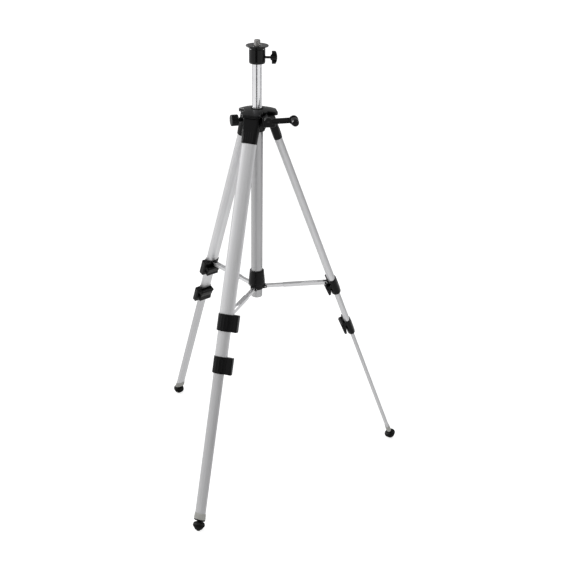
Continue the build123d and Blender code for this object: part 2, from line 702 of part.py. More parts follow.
def drive_pinion():
    """Ten-tooth pinion keyed on the crank's shaft, in the crank's frame."""
    root = PINION_RADIUS - TOOTH_DEDENDUM
    tip = PINION_RADIUS + TOOTH_ADDENDUM
    half_root = (GEAR_PITCH / 2 - TOOTH_BACKLASH) / 2 + TOOTH_DEDENDUM * PINION_ROOT_SLOPE
    half_tip = (GEAR_PITCH / 2 - TOOTH_BACKLASH) / 2 - TOOTH_ADDENDUM * PINION_TIP_SLOPE
    gear = Circle(root)
    for i in range(PINION_TEETH):
        tooth = make_face(
            Polyline((root - 1, -half_root), (root, -half_root), (tip, -half_tip), (tip, half_tip),
                     (root, half_root), (root - 1, half_root), close=True)
        )
        gear += Rot(0, 0, i * 360 / PINION_TEETH) * tooth
    half = PINION_WIDTH / 2
    return Pos(0, 0, -half) * extrude(gear, PINION_WIDTH) - rod(CRANK_SHAFT_RADIUS - 1, -half - 1, half + 1)


def crank_arm():
    """Flat arm from the shaft's boss to the grip's boss, in the crank's frame."""
    front = CRANK_ARM_BACK + CRANK_ARM_THICKNESS
    web = Pos(CRANK_ARM_LENGTH / 2, 0) * Rectangle(CRANK_ARM_LENGTH, CRANK_WEB_WIDTH)
    arm = Pos(0, 0, CRANK_ARM_BACK) * extrude(web, CRANK_ARM_THICKNESS)
    arm += rod(CRANK_BOSS_RADIUS, CRANK_ARM_BACK, front + 2)
    arm += Pos(CRANK_ARM_LENGTH, 0, 0) * rod(GRIP_BOSS_RADIUS, CRANK_ARM_BACK, front)
    arm -= rod(CRANK_SHAFT_RADIUS - 1, CRANK_ARM_BACK - 1, front + 3)
    return arm + Pos(CRANK_ARM_LENGTH, 0, 0) * rod(SPINDLE_RADIUS, front - 1, front + GRIP_LENGTH - 2)


def crank_grip():
    """Barrel grip that turns on the arm's spindle, in the crank's frame."""
    front = CRANK_ARM_BACK + CRANK_ARM_THICKNESS + 0.4
    grip = turned(
        [
            (0, front),
            (GRIP_RADIUS, front),
            (GRIP_COLLAR_RADIUS, front + 3),
            (GRIP_RADIUS, front + GRIP_LENGTH - 3),
            (GRIP_END_RADIUS, front + GRIP_LENGTH),
            (0, front + GRIP_LENGTH),
        ]
    )
    grip -= rod(SPINDLE_RADIUS + RUNNING_GAP, front - 1, front + GRIP_LENGTH - 2)
    return Pos(CRANK_ARM_LENGTH, 0, 0) * grip


def build_crank():
    """Shaft, pinion, arm and grip."""
    rest = crank_frame() * Rot(0, 0, CRANK_REST_ANGLE)
    half = PINION_WIDTH / 2
    shaft = rod(CRANK_SHAFT_RADIUS, half, CRANK_ARM_BACK)
    shaft += rod(CRANK_SHAFT_RADIUS - 1, -half, half)
    shaft += rod(CRANK_SHAFT_RADIUS, -14, -half)
    shaft += rod(CRANK_SHAFT_RADIUS - 1, CRANK_ARM_BACK, CRANK_ARM_BACK + CRANK_ARM_THICKNESS + 2)
    save(crank_frame() * shaft, "crank_shaft")
    save(crank_frame() * drive_pinion(), "drive_pinion")
    save(rest * crank_arm(), "crank_arm")
    save(rest * crank_grip(), "crank_grip")


def build_column_lock():
    """Knob, screw and the brake shoe it presses on the column."""
    frame = radial(LOCK_AZIMUTH, LOCK_Z)
    end = LOCK_KNOB_START + LOCK_KNOB_LENGTH
    screw = rod(LOCK_SCREW_RADIUS, LOCK_SCREW_START, LOCK_KNOB_START)
    screw += rod(LOCK_SCREW_RADIUS - 1, LOCK_KNOB_START, end - 4)
    knob = rod(LOCK_KNOB_RADIUS, LOCK_KNOB_START, end)
    for i in range(LOCK_KNOB_GROOVES):
        turn = Rot(0, 0, i * 360 / LOCK_KNOB_GROOVES)
        knob -= turn * Pos(LOCK_KNOB_RADIUS + 1, 0, 0) * rod(LOCK_GROOVE_RADIUS, LOCK_KNOB_START - 1, end + 1)
    knob -= rod(LOCK_SCREW_RADIUS - 1, LOCK_KNOB_START - 1, end - 4)
    shoe_end = LOCK_SCREW_START - 0.3
    shoe = rod(LOCK_SCREW_RADIUS - 0.05, shoe_end - SHOE_LENGTH, shoe_end)
    shoe -= Rot(90, 0, 0) * Cylinder(COLUMN_RADIUS + RUNNING_GAP, 2 * THROUGH)
    save(frame * screw, "lock_screw")
    save(frame * knob, "lock_knob")
    save(frame * shoe, "brake_shoe")


# ---------------------------------------------------------------- head


def build_head():
    """Instrument plate, threaded stud, cup and its clamp knob."""
    plate = rod(PLATE_RADIUS, -PLATE_THICKNESS, 0)
    plate = fillet(plate.edges(), PLATE_EDGE)
    plate -= rod(RECESS_RADIUS, -RECESS_DEPTH, 1)
    plate -= rod(STUD_SHANK_RADIUS, -PLATE_THICKNESS - 1, 1)
    stud = rod(STUD_RADIUS, -RECESS_DEPTH, STUD_TOP_Z)
    stud += rod(STUD_SHANK_RADIUS, STUD_SHANK_END, -RECESS_DEPTH)
    stud = chamfer(stud.edges().filter_by_position(Axis.Z, STUD_TOP_Z, STUD_TOP_Z), 1)
    cup = rod(CUP_RADIUS, CUP_BOTTOM_Z, -PLATE_THICKNESS)
    cup = fillet(cup.edges().filter_by_position(Axis.Z, CUP_BOTTOM_Z, CUP_BOTTOM_Z), CUP_EDGE)
    cup -= rod(COLUMN_RADIUS + RUNNING_GAP, CUP_BOTTOM_Z - 1, COLUMN_TOP_Z + 0.5)
    cup -= rod(STUD_SHANK_RADIUS, STUD_SHANK_END - 1, 0)
    frame = radial(HEAD_KNOB_AZIMUTH, HEAD_KNOB_Z)
    cup -= frame * rod(HEAD_SCREW_RADIUS + RUNNING_GAP, 8, 30)
    save(plate, "instrument_plate")
    save(stud, "mount_stud")
    save(cup, "head_cup")
    end = HEAD_KNOB_START + HEAD_KNOB_LENGTH
    screw = rod(HEAD_SCREW_RADIUS, COLUMN_RADIUS + 0.3, end - 5)
    knob = rod(HEAD_KNOB_BOSS_RADIUS, HEAD_KNOB_START, end - 3)
    wing = RectangleRounded(HEAD_KNOB_WIDTH, HEAD_KNOB_HEIGHT, HEAD_KNOB_WIDTH / 2 - 0.1)
    knob += Pos(0, 0, HEAD_KNOB_START + 3) * extrude(wing, HEAD_KNOB_LENGTH - 3)
    knob -= rod(HEAD_SCREW_RADIUS, HEAD_KNOB_START - 1, end - 5)
    save(frame * screw, "head_clamp_screw")
    save(frame * knob, "head_knob")


os.makedirs("parts", exist_ok=True)
for leg_side, leg_azimuth in LEG_AZIMUTHS.items():
    build_leg(leg_side, leg_azimuth)
build_spreader()
build_hub()
build_column()
build_crank()
build_column_lock()
build_head()
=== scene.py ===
import json
import math

import bmesh
import bpy
from mathutils import Matrix, Vector

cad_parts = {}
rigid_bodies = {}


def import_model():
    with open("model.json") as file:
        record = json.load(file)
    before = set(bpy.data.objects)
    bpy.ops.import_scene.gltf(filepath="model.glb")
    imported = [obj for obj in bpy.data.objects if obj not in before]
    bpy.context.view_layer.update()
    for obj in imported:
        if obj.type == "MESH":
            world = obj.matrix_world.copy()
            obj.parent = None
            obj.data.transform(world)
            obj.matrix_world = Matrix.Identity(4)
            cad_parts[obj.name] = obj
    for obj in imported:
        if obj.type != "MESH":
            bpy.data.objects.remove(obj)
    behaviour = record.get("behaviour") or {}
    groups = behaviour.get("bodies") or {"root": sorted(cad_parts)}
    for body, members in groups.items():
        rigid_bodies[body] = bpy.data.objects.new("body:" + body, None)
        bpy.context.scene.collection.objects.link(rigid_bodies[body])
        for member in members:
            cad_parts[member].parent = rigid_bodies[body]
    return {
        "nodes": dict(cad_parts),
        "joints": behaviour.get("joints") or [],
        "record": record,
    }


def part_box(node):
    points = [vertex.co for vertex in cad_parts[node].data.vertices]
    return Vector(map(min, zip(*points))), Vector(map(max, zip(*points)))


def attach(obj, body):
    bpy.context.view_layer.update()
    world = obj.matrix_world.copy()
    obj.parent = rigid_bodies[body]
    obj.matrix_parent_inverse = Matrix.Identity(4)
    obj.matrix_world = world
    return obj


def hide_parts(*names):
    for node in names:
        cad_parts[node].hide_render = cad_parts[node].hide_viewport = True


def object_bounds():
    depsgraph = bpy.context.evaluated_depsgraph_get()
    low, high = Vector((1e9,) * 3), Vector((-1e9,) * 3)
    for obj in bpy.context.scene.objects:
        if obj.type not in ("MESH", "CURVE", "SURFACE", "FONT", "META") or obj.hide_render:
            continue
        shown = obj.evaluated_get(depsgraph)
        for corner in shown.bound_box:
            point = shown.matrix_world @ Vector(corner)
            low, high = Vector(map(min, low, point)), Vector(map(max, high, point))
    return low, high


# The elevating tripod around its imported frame. Metres; the row frame has +Z up and the front leg along -Y.

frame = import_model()
cad_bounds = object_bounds()
nodes = frame["nodes"]
joints = {joint["name"]: joint for joint in frame["joints"]}
body_of = {node: body for body, members in frame["record"]["behaviour"]["bodies"].items() for node in members}

MM = 0.001
TINY = 1e-6
SIDES = ("front", "left", "right")

# Tubes
TUBE_WALLS = {"upper_tube": 1.5 * MM, "mid_tube": 1.3 * MM, "lower_tube": 1.2 * MM}
COLUMN_WALL = 1.5 * MM
RACK_HALF_SLOT = 3.5 * MM

# Ribs and flutes on the mouldings
BRACKET_RIB_PITCH = 6 * MM
BRACKET_RIB_HEIGHT = 0.7 * MM
BRACKET_RIB_SPAN = (25 * MM, 52 * MM)
BRACKET_RIB_HALF_WIDTH = 15 * MM
LOCK_FLUTE_PITCH = 8 * MM
LOCK_FLUTE_SHIFT = 1 * MM
LOCK_FLUTE_HEIGHT = 0.6 * MM
LOCK_FLUTE_SIDES = (-17 * MM, 15 * MM)
LOCK_FLUTE_MARGIN = 5 * MM
LEVER_RIB_PITCH = 3.2 * MM
LEVER_RIB_HEIGHT = 0.5 * MM
LEVER_RIB_SPAN = (2 * MM, 13 * MM)
LEVER_RIB_MARGIN = 6 * MM

# End caps and feet
CAP_BASE_DROP = 4 * MM
CAP_BASE_HEIGHT = 4.5 * MM
CAP_WALL = 1.6 * MM
CAP_LIP = 3 * MM
NECK_RADIUS = 6 * MM
NECK_ROOT_RADIUS = 7 * MM
FOOT_CROWN_RADIUS = 9 * MM
FOOT_TIP_RADIUS = 3.4 * MM

# Crank and head
GROOVE_SPAN = (9 * MM, 54 * MM)
GROOVE_HALF_WIDTH = 3.4 * MM
GROOVE_DEPTH = 1.4 * MM
GROOVE_RISE = 0.8 / 30
WING_SWEEP = 4.5 * MM
WING_SPREAD = 1.5 * MM
PLATE_BORE = 5 * MM
RECESS_RADIUS = 11 * MM
RECESS_DEPTH = 1 * MM
STUD_PITCH = 2.309 * MM
STUD_DEPTH = 1.25 * MM
STUD_CHAMFER = 1.4 * MM
SOCKET_DEPTH = 8 * MM
SOCKET_GAP = 0.3 * MM

# Studio
FLOOR_HEIGHT = cad_bounds[0][2] - 0.0005
FLOOR_RADIUS = 14
FLOOR_LIFT = 0.75
FLOOR_IN_MIRRORS = 0.38
WORLD_BRIGHT_SIDE = -50
WORLD_RANGE = (0.28, 0.66)
CARD_RADIUS = 3.0

# Camera: distance from the column's axis, height over the instrument plate, and aim
CAMERA_AZIMUTH = 21.85
CAMERA_DISTANCE = 2.5298
CAMERA_HEIGHT = 0.548
CAMERA_PITCH = 25.17
CAMERA_YAW = 1.71
CAMERA_ROLL = 0.82
CAMERA_LENS = 65.87


# ---------------------------------------------------------------- frames taken from the joints


def axes_matrix(origin, x_axis, y_axis, z_axis):
    """Matrix made of three unit axes and an origin."""
    rows = [[x_axis[i], y_axis[i], z_axis[i], origin[i]] for i in range(3)]
    return Matrix(rows + [[0, 0, 0, 1]])


def leg_frame(side):
    """Leg frame at the hinge: Z up the leg, X along the hinge, Y towards the column."""
    fold = joints[f"{side}_leg_fold"]
    up = -Vector(joints[f"{side}_mid_slide"]["axis"]).normalized()
    across = -Vector(fold["axis"]).normalized()
    return axes_matrix(Vector(fold["pos_m"]), across, up.cross(across), up)


def shaft_frame(joint_name):
    """Frame on a joint's axis: Z along the axis, Y up, origin at the joint."""
    joint = joints[joint_name]
    out = Vector(joint["axis"]).normalized()
    side = Vector((0, 0, 1)).cross(out).normalized()
    return axes_matrix(Vector(joint["pos_m"]), side, out.cross(side), out)


def local_box(node, placement):
    """Lowest and highest corner of a CAD node in a local frame."""
    back = placement.inverted()
    points = [back @ vertex.co for vertex in nodes[node].data.vertices]
    low = Vector([min(p[i] for p in points) for i in range(3)])
    high = Vector([max(p[i] for p in points) for i in range(3)])
    return low, high


LEG_FRAMES = {side: leg_frame(side) for side in SIDES}


# ---------------------------------------------------------------- materials


class Nodes:
    """Short ways to add and link the nodes of one material."""

    def __init__(self, name, colour, metallic, roughness):
        self.material = bpy.data.materials.new(name)
        self.material.use_nodes = True
        self.tree = self.material.node_tree
        self.shader = self.tree.nodes["Principled BSDF"]
        self.shader.inputs["Base Color"].default_value = (*colour, 1)
        self.shader.inputs["Metallic"].default_value = metallic
        self.shader.inputs["Roughness"].default_value = roughness

    def add(self, kind, **settings):
        node = self.tree.nodes.new(kind)
        for key, value in settings.items():
            setattr(node, key, value)
        return node

    def link(self, source, output, target, socket):
        self.tree.links.new(source.outputs[output], target.inputs[socket])

    def coordinates(self, rotation=(0, 0, 0), scale=(1, 1, 1)):
        """Object coordinates turned into a piece's own directions, then stretched."""
        source = self.add("ShaderNodeTexCoord")
        turn = self.add("ShaderNodeVectorRotate", rotation_type="EULER_XYZ", invert=True)
        turn.inputs["Rotation"].default_value = rotation
        stretch = self.add("ShaderNodeMapping")
        stretch.inputs["Scale"].default_value = scale
        self.link(source, "Object", turn, "Vector")
        self.link(turn, "Vector", stretch, "Vector")
        return stretch

    def noise(self, coordinates, scale, detail=4.0, roughness=0.55):
        node = self.add("ShaderNodeTexNoise")
        node.inputs["Scale"].default_value = scale
        node.inputs["Detail"].default_value = detail
        node.inputs["Roughness"].default_value = roughness
        self.link(coordinates, "Vector", node, "Vector")
        return node

    def uneven_gloss(self, source, low, high):
        """Map a noise value onto a range of roughness."""
        node = self.add("ShaderNodeMapRange")
        node.inputs["From Min"].default_value = 0.3
        node.inputs["From Max"].default_value = 0.7
        node.inputs["To Min"].default_value = low
        node.inputs["To Max"].default_value = high
        self.link(source, "Fac", node, "Value")
        self.link(node, "Result", self.shader, "Roughness")

    def tint(self, source, dark, light):
        """Map a noise value onto two colours."""
        node = self.add("ShaderNodeValToRGB")
        node.color_ramp.elements[0].position = 0.32
        node.color_ramp.elements[0].color = (*dark, 1)
        node.color_ramp.elements[1].position = 0.68
        node.color_ramp.elements[1].color = (*light, 1)
        self.link(source, "Fac", node, "Fac")
        self.link(node, "Color", self.shader, "Base Color")

    def bump(self, sources, distance):
        """Chain bumps from noise values into the shader's normal."""
        before = None
        for source, strength in sources:
            node = self.add("ShaderNodeBump")
            node.inputs["Strength"].default_value = strength
            node.inputs["Distance"].default_value = distance
            self.link(source, "Fac", node, "Height")
            if before is not None:
                self.link(before, "Normal", node, "Normal")
            before = node
        self.link(before, "Normal", self.shader, "Normal")


def shade(colour, factor):
    """A colour made lighter or darker."""
    return tuple(min(1.0, channel * factor) for channel in colour)


def moulded(name, colour, roughness, grain=1600, relief=0.1, specular=0.2):
    """Injection-moulded plastic or rubber: fine spark-eroded grain, cloudy sheen and scuffs."""
    nodes_of = Nodes(name, colour, 0, roughness)
    space = nodes_of.coordinates()
    cloud = nodes_of.noise(space, 38, 3)
    fine = nodes_of.noise(space, grain, 2)
    scuff = nodes_of.noise(space, 260, 6, 0.7)
    nodes_of.tint(cloud, shade(colour, 0.82), shade(colour, 1.2))
    nodes_of.uneven_gloss(scuff, roughness - 0.07, roughness + 0.09)
    nodes_of.bump([(fine, relief), (cloud, 0.06)], 0.0002)
    nodes_of.shader.inputs["Specular IOR Level"].default_value = specular
    return nodes_of.material


def drawn_metal(name, colour, roughness, rotation, relief=0.12):
    """Extruded, anodised aluminium: fine die lines along the tube under a matt sealed surface."""
    nodes_of = Nodes(name, colour, 1, roughness)
    along = nodes_of.coordinates(rotation, (1, 1, 0.004))
    space = nodes_of.coordinates(rotation, (1, 1, 0.35))
    lines = nodes_of.noise(along, 900, 3)
    broad = nodes_of.noise(along, 160, 2)
    cloud = nodes_of.noise(space, 22, 3)
    nodes_of.tint(broad, shade(colour, 0.94), shade(colour, 1.05))
    nodes_of.uneven_gloss(cloud, roughness - 0.04, roughness + 0.05)
    nodes_of.bump([(lines, relief), (broad, 0.05)], 0.0001)
    return nodes_of.material


def plated(name, colour, roughness, grain=500):
    """Plated steel: a near mirror with faint polishing haze."""
    nodes_of = Nodes(name, colour, 1, roughness)
    space = nodes_of.coordinates()
    haze = nodes_of.noise(space, grain, 4)
    cloud = nodes_of.noise(space, 30, 2)
    nodes_of.tint(cloud, shade(colour, 0.96), shade(colour, 1.03))
    nodes_of.uneven_gloss(haze, roughness * 0.7, roughness * 1.35)
    nodes_of.bump([(haze, 0.02)], 0.0001)
    return nodes_of.material


ALUMINIUM = (0.80, 0.80, 0.81)
black_plastic = moulded("black_moulded_plastic", (0.0016, 0.0016, 0.0019), 0.3)
gloss_black = moulded("semi_gloss_black", (0.0012, 0.0012, 0.0014), 0.16, 900, 0.05, 0.3)
grey_plastic = moulded("grey_end_cap_plastic", (0.52, 0.52, 0.49), 0.5)
foot_rubber = moulded("foot_rubber", (0.004, 0.004, 0.0038), 0.62, 1100, 0.5, 0.12)
grip_plastic = moulded("crank_grip_plastic", (0.004, 0.004, 0.0045), 0.3, 1200, 0.15)
nylon = moulded("bearing_nylon", (0.012, 0.012, 0.013), 0.5)
chrome = plated("polished_chrome", (0.95, 0.95, 0.97), 0.15)
black_oxide = plated("blackened_steel", (0.035, 0.034, 0.034), 0.34)
steel = plated("plated_steel", (0.5, 0.49, 0.48), 0.2)
BLACKS = (black_plastic, gloss_black, grip_plastic, foot_rubber)
# Painted shade: the three leg sections are one aluminium, made darker going down the leg (upper 0.96, mid
# 0.9, lower 0.8) in place of the light falling off on them.
SECTION_PAINTED_SHADE = {"upper_tube": 0.96, "mid_tube": 0.9, "lower_tube": 0.8}
LEG_METALS = {
    part: drawn_metal(f"{part}_metal", shade(ALUMINIUM, factor), 0.5, (0, 0, 0))
    for part, factor in SECTION_PAINTED_SHADE.items()
}
# Painted shade: the guide tube is the same aluminium, darkened to 0.62 in place of the shade that falls on
# it.
guide_painted_shade_metal = drawn_metal("guide_tube_aluminium", shade(ALUMINIUM, 0.62), 0.42, (0, 0, 0))
brace_metal = drawn_metal("brace_aluminium", ALUMINIUM, 0.46, (0, math.pi / 2, 0))


def paint(node, material):
    """Give a CAD node its finished material."""
    slots = nodes[node].data.materials
    slots.clear()
    slots.append(material)


# ---------------------------------------------------------------- shapes


def show(name, data, material, node, placement=Matrix()):
    """Put a new smooth-shaded piece in place with the given material, on the body of the CAD node that it
    stands for, and hide that node.
    """
    data.materials.clear()
    data.materials.append(material)
    data.polygons.foreach_set("use_smooth", [True] * len(data.polygons))
    piece = bpy.data.objects.new(name, data)
    bpy.context.scene.collection.objects.link(piece)
    piece.matrix_world = placement
    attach(piece, body_of[node])
    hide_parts(node)
    return piece


def softened(node, placement, voxel, passes, reshape=None):
    """A CAD node's shape in a local frame with moulded, rounded edges, then reshaped point by point."""
    data = nodes[node].data.copy()
    data.transform(placement.inverted())
    carrier = bpy.data.objects.new("carrier", data)
    bpy.context.scene.collection.objects.link(carrier)
    remesh = carrier.modifiers.new("remesh", "REMESH")
    remesh.mode = "VOXEL"
    remesh.voxel_size = voxel
    relax = carrier.modifiers.new("relax", "SMOOTH")
    relax.factor = 0.5
    relax.iterations = passes
    result = bpy.data.meshes.new_from_object(carrier.evaluated_get(bpy.context.evaluated_depsgraph_get()))
    bpy.data.objects.remove(carrier)
    if reshape is not None:
        moves = [reshape(vertex.co, vertex.normal) for vertex in result.vertices]
        for vertex, move in zip(result.vertices, moves):
            vertex.co += move
    return result


def rounded(points, radius):
    """An open outline with its inner corners rounded, held straight close to each of them."""
    result = [points[0]]
    for before, corner, after in zip(points, points[1:], points[2:]):
        here = Vector(corner)
        back = Vector(before) - here
        ahead = Vector(after) - here
        reach = min(radius, back.length * 0.45, ahead.length * 0.45)
        start = here + back.normalized() * reach
        end = here + ahead.normalized() * reach
        result.append(tuple(start + back.normalized() * reach * 0.1))
        for i in range(7):
            t = i / 6
            result.append(tuple(start * (1 - t) ** 2 + here * 2 * t * (1 - t) + end * t * t))
        result.append(tuple(end + ahead.normalized() * reach * 0.1))
    return result + [points[-1]]


def lathe(outline, segments=96):
    """Mesh of revolution about Z; the outline's ends lie on the axis or are joined to each other."""
    data = bpy.data.meshes.new("lathe")
    shape = bmesh.new()
    rings = []
    for radius, height in outline:
        if radius < TINY:
            rings.append([shape.verts.new((0, 0, height))])
            continue
        ring = []
        for i in range(segments):
            turn = 2 * math.pi * i / segments
            ring.append(shape.verts.new((radius * math.cos(turn), radius * math.sin(turn), height)))
        rings.append(ring)
    pairs = list(zip(rings, rings[1:]))
    if len(rings[0]) > 1:
        pairs.append((rings[-1], rings[0]))
    for low, high in pairs:
        for i in range(segments):
            k = (i + 1) % segments
            corners = [low[i % len(low)], low[k % len(low)], high[k % len(high)], high[i % len(high)]]
            shape.faces.new(list(dict.fromkeys(corners)))
    bmesh.ops.recalc_face_normals(shape, faces=shape.faces)
    shape.to_mesh(data)
    shape.free()
    return data


def oval_sleeve(outline, aspect, segments=112):
    """Oval lathe: the outline gives half-widths along X, and Y is squeezed to the section's aspect."""
    data = lathe(outline, segments)
    for vertex in data.vertices:
        vertex.co.y *= aspect(math.hypot(vertex.co.x, vertex.co.y))
    return data


def oval_tube(half_x, half_y, wall, low, high, lip=0.4 * MM):
    """Extruded oval tube with a constant wall and broken edges."""
    data = bpy.data.meshes.new("oval_tube")
    shape = bmesh.new()
    near = 3 * lip
    profile = [
        (0, low + lip), (0, low + near), (0, high - near), (0, high - lip),
        (lip, high), (wall - lip, high),
        (wall, high - lip), (wall, high - near), (wall, low + near), (wall, low + lip),
        (wall - lip, low), (lip, low),
    ]
    rings = []
    segments = 128
    for inset, height in profile:
        ring = []
        for i in range(segments):
            turn = 2 * math.pi * i / segments
            x = (half_x - inset) * math.cos(turn)
            y = (half_y - inset) * math.sin(turn)
            ring.append(shape.verts.new((x, y, height)))
        rings.append(ring)
    for lower, upper in zip(rings, rings[1:] + rings[:1]):
        for i in range(segments):
            k = (i + 1) % segments
            shape.faces.new([lower[i], lower[k], upper[k], upper[i]])
    bmesh.ops.recalc_face_normals(shape, faces=shape.faces)
    shape.to_mesh(data)
    shape.free()
    return data


def ridge(value, pitch):
    """Rounded ridges at a pitch: 1 on a crest, 0 between crests."""
    return max(0.0, math.cos(2 * math.pi * value / pitch)) ** 2


def ramp(value, low, high, edge):
    """1 between two limits, falling smoothly to 0 within an edge."""
    inside = min(value - low, high - value) / edge
    inside = min(1.0, max(0.0, inside))
    return inside * inside * (3 - 2 * inside)


# ---------------------------------------------------------------- legs


def on_outer_face(normal):
    """How far a point's face looks away from the column, from 0 to 1."""
    return max(0.0, -normal.y) ** 2


def bracket_relief(low, high):
    """Upright ribs low on the bracket's outer face."""

    def relief(point, normal):
        start, end = BRACKET_RIB_SPAN
        height = ramp(point.z, low.z + start, low.z + end, 6 * MM)
        width = ramp(point.x, -BRACKET_RIB_HALF_WIDTH, BRACKET_RIB_HALF_WIDTH, 2 * MM)
        rib = ridge(point.x, BRACKET_RIB_PITCH) * height * width
        return normal * (rib * on_outer_face(normal) * BRACKET_RIB_HEIGHT)

    return relief


def lock_relief(low, high):
    """Upright flutes round the lock's outer face."""

    def relief(point, normal):
        height = ramp(point.z, low.z + LOCK_FLUTE_MARGIN, high.z - LOCK_FLUTE_MARGIN, 4 * MM)
        width = ramp(point.x, *LOCK_FLUTE_SIDES, 3 * MM)
        flute = ridge(point.x - LOCK_FLUTE_SHIFT, LOCK_FLUTE_PITCH) * height * width
        return normal * (flute * on_outer_face(normal) * LOCK_FLUTE_HEIGHT)

    return relief


def lever_relief(low, high):
    """Finger ribs across the free half of a lever."""

    def relief(point, normal):
        start, end = LEVER_RIB_SPAN
        height = ramp(point.z, low.z + start, low.z + end, 1 * MM)
        across = ramp(point.x, low.x + LEVER_RIB_MARGIN, high.x - LEVER_RIB_MARGIN, 2 * MM)
        rib = ridge(point.z, LEVER_RIB_PITCH) * height * across
        return normal * (rib * max(0.0, normal.y) ** 2 * LEVER_RIB_HEIGHT)

    return relief


def build_mouldings():
    """Brackets, locks and levers: shaped once in the leg's own frame and repeated on each leg."""
    reliefs = {
        "bracket": (bracket_relief, 0.8 * MM, 5),
        "upper_lock": (lock_relief, 0.65 * MM, 4),
        "upper_lever": (lever_relief, 0.55 * MM, 4),
        "lower_lock": (lock_relief, 0.65 * MM, 4),
        "lower_lever": (lever_relief, 0.55 * MM, 4),
    }
    for part, (relief, voxel, passes) in reliefs.items():
        low, high = local_box(f"front_{part}", LEG_FRAMES["front"])
        shape = softened(f"front_{part}", LEG_FRAMES["front"], voxel, passes, relief(low, high))
        for side in SIDES:
            drop = local_box(f"{side}_{part}", LEG_FRAMES[side])[1].z - high.z
            place = LEG_FRAMES[side] @ Matrix.Translation((0, 0, drop))
            show(f"{side}_{part}_moulding", shape.copy(), black_plastic, f"{side}_{part}", place)


def build_leg_tubes():
    """The three telescopic sections of each leg."""
    for side in SIDES:
        for part, wall in TUBE_WALLS.items():
            low, high = local_box(f"{side}_{part}", LEG_FRAMES[side])
            shape = oval_tube((high.x - low.x) / 2, (high.y - low.y) / 2, wall, low.z, high.z)
            show(f"{side}_{part}_extrusion", shape, LEG_METALS[part], f"{side}_{part}", LEG_FRAMES[side])


def build_feet():
    """End caps with their necks, and mushroom feet."""
    for side in SIDES:
        place = LEG_FRAMES[side]
        low, high = local_box(f"{side}_end_cap", place)
        tube_low = local_box(f"{side}_lower_tube", place)[0]
        foot_low, foot_high = local_box(f"{side}_rubber_foot", place)
        half_x, half_y = (high.x - low.x) / 2, (high.y - low.y) / 2
        base = tube_low.z - CAP_BASE_DROP
        flange = base + CAP_BASE_HEIGHT
        inner = half_x - CAP_WALL
        skirt = half_x - 0.2 * MM

        def aspect(radius):
            """The wall keeps its thickness round the oval; the middle is squeezed evenly."""
            if radius > half_x * 0.6:
                return (half_y - (half_x - radius)) / max(radius, TINY)
            return half_y / half_x

        sleeve = [
            (inner, flange), (skirt, flange), (skirt, flange + CAP_LIP), (half_x - 1.0 * MM, high.z),
            (inner, high.z),
        ]
        shape = oval_sleeve(rounded(sleeve, 0.6 * MM), aspect)
        show(f"{side}_cap_sleeve", shape, grey_plastic, f"{side}_end_cap", place)
        bottom = [
            (0, flange), (half_x - 0.9 * MM, flange), (half_x - 0.6 * MM, base + 2 * MM),
            (half_x - 2.4 * MM, base), (0, base),
        ]
        shape = oval_sleeve(rounded(bottom, 0.9 * MM), aspect)
        show(f"{side}_cap_base", shape, black_plastic, f"{side}_end_cap", place)
        neck = [
            (0, base + 1 * MM), (NECK_ROOT_RADIUS, base + 1 * MM), (NECK_RADIUS, base - 1.5 * MM),
            (NECK_RADIUS, foot_high.z), (0, foot_high.z),
        ]
        shape = lathe(rounded(neck, 0.5 * MM), 64)
        show(f"{side}_foot_neck", shape, black_plastic, f"{side}_end_cap", place)
        rim = (foot_high.x - foot_low.x) / 2
        shoulder = foot_high.z - 0.2 * MM
        mushroom = [
            (0, shoulder), (FOOT_CROWN_RADIUS, shoulder), (rim * 0.9, shoulder - 2 * MM),
            (rim, shoulder - 6 * MM), (rim, shoulder - 9 * MM), (rim * 0.62, shoulder - 18 * MM),
            (NECK_RADIUS, foot_low.z + 3 * MM), (FOOT_TIP_RADIUS, foot_low.z + 0.4 * MM), (0, foot_low.z),
        ]
        shape = lathe(rounded(mushroom, 2 * MM), 80)
        show(f"{side}_foot_pad", shape, foot_rubber, f"{side}_rubber_foot", place)


# ---------------------------------------------------------------- hub, column and head


